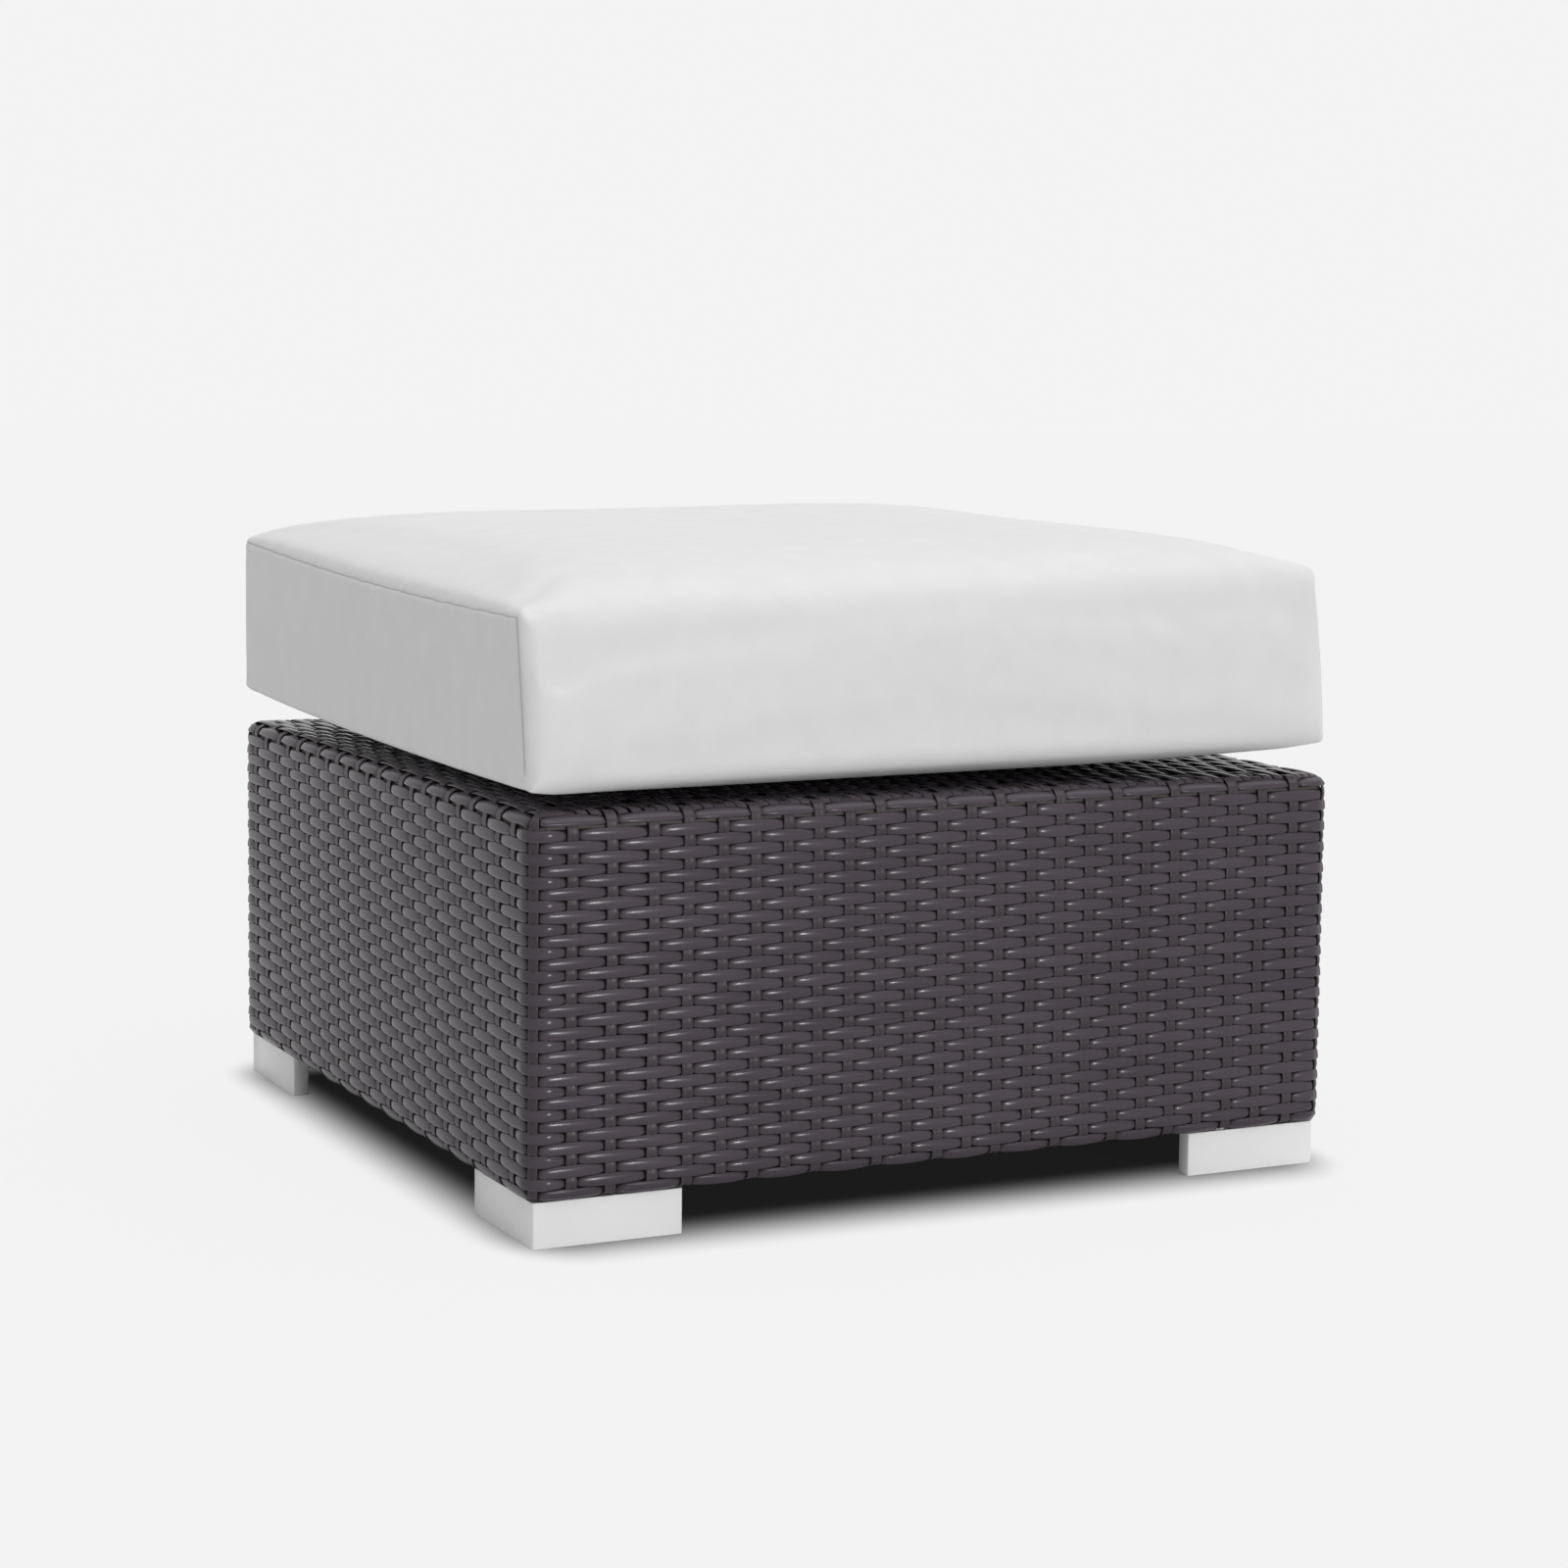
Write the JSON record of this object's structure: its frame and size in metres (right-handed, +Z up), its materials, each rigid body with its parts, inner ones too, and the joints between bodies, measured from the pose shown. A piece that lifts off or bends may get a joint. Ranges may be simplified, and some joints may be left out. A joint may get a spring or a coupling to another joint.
{
  "type": "outdoor ottoman footstool",
  "caption": "Square woven wicker footstool on four L-shaped feet, with a thick loose box cushion that lifts off and unzips at the back.",
  "frame": {"origin": "on the floor, under the middle of the square base", "axes": "+Z up, shortest extent; the front faces -Y and the cushion's zip is at the back, towards +Y"},
  "size_m": [0.7, 0.7, 0.5177],
  "materials": {
    "wicker": "dark brown-grey resin strand, satin",
    "frame_tube": "brown powder coat, matt",
    "foot": "white, satin",
    "fastener_steel": "zinc plated",
    "cushion_fabric": "off-white woven canvas",
    "cushion_foam": "open-cell foam",
    "zip_tape": "woven tape",
    "zip_metal": "nickel plated"
  },
  "bodies": {
    "base": {"top_rail_front": "frame_tube", "top_rail_right": "frame_tube", "top_rail_back": "frame_tube", "top_rail_left": "frame_tube", "bottom_rail_front": "frame_tube", "bottom_rail_right": "frame_tube", "bottom_rail_back": "frame_tube", "bottom_rail_left": "frame_tube", "corner_post_front_left": "frame_tube", "corner_post_front_right": "frame_tube", "corner_post_back_right": "frame_tube", "corner_post_back_left": "frame_tube", "deck_bar_1": "frame_tube", "deck_bar_2": "frame_tube", "deck_bar_3": "frame_tube", "woven_side_front": "wicker", "woven_side_right": "wicker", "woven_side_back": "wicker", "woven_side_left": "wicker", "woven_deck": "wicker", "foot_front_left": "foot", "foot_front_right": "foot", "foot_back_right": "foot", "foot_back_left": "foot", "foot_screw_front_left_1": "fastener_steel", "foot_screw_front_left_2": "fastener_steel", "foot_screw_front_right_1": "fastener_steel", "foot_screw_front_right_2": "fastener_steel", "foot_screw_back_right_1": "fastener_steel", "foot_screw_back_right_2": "fastener_steel", "foot_screw_back_left_1": "fastener_steel", "foot_screw_back_left_2": "fastener_steel", "rivet_nut_front_left_1": "fastener_steel", "rivet_nut_front_left_2": "fastener_steel", "rivet_nut_front_right_1": "fastener_steel", "rivet_nut_front_right_2": "fastener_steel", "rivet_nut_back_right_1": "fastener_steel", "rivet_nut_back_right_2": "fastener_steel", "rivet_nut_back_left_1": "fastener_steel", "rivet_nut_back_left_2": "fastener_steel"},
    "cushion": {"cushion_cover": "cushion_fabric", "cushion_foam": "cushion_foam", "zip_tape": "zip_tape"},
    "slider": {"zip_slider": "zip_metal"},
    "pull": {"zip_pull": "zip_metal"}
  },
  "joints": [
    {"name": "cushion_lift", "type": "slide", "parent": "base", "child": "cushion", "axis": [0, 0, 1], "range_m": [0, 0.3]},
    {"name": "zip_travel", "type": "slide", "parent": "cushion", "child": "slider", "axis": [1, 0, 0], "range_m": [0, 0.5]},
    {"name": "pull_flip", "type": "hinge", "parent": "slider", "child": "pull", "pos_m": [-0.251, 0.3474, 0.4153], "axis": [0, 0, 1], "range_deg": [0, 180]}
  ]
}
